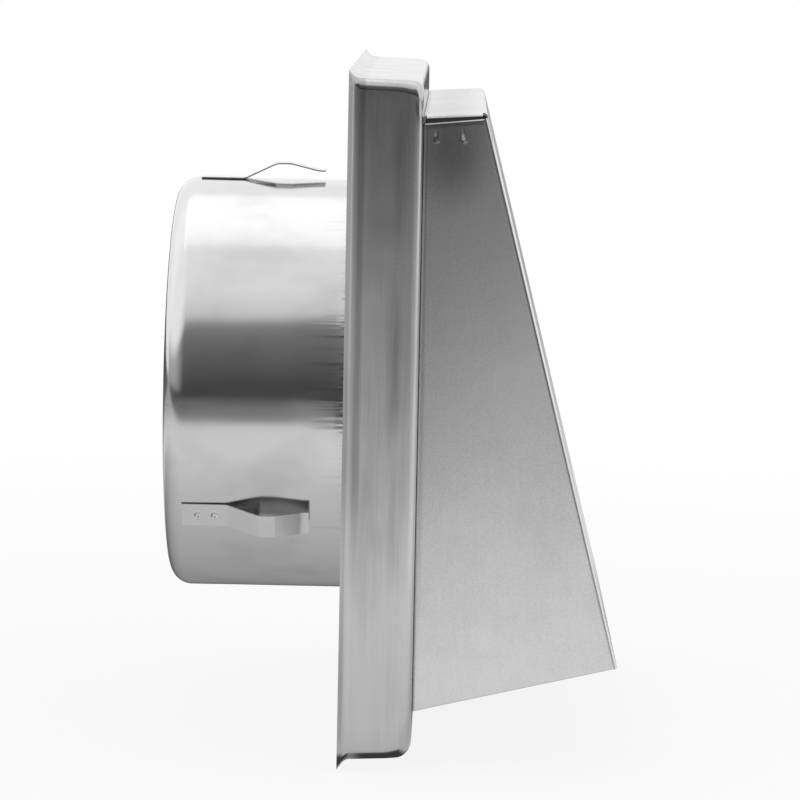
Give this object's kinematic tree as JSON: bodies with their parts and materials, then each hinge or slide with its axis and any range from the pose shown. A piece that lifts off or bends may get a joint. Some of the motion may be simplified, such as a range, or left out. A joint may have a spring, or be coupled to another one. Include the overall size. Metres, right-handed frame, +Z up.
{
  "type": "dryer vent cap",
  "caption": "Square stainless steel wall cap for a round exhaust duct, with a sloping cowl open at the bottom, a hinged draught flap and a spring-clipped collar.",
  "frame": {"origin": "on the duct's axis in the plane of the wall, which is the plane of the pan's trimmed rim", "axes": "+Z up, +Y into the duct along its axis, -Y out of the wall towards the cowl, X across"},
  "size_m": [0.1564, 0.1049, 0.1564],
  "materials": {
    "pan_steel": "drawn, satin, lightly smudged",
    "collar_steel": "bright rolled",
    "cowl_steel": "fine mill grain",
    "flap_steel": "bright rolled thin sheet",
    "hinge_steel": "plain",
    "spring_steel": "satin spring strip"
  },
  "bodies": {
    "root": {"base_plate": "pan_steel", "duct_collar": "collar_steel", "hood": "cowl_steel", "hinge_rod": "hinge_steel", "hinge_bracket_left": "hinge_steel", "hinge_bracket_right": "hinge_steel", "spring_clip_top": "spring_steel", "spring_clip_left": "spring_steel", "spring_clip_right": "spring_steel"},
    "flap_body": {"flap": "flap_steel"}
  },
  "joints": [
    {"name": "flap_swing", "type": "hinge", "parent": "root", "child": "flap_body", "pos_m": [0, -0.01885, 0.054], "axis": [-1, 0, 0], "range_deg": [0, 19.5]}
  ]
}
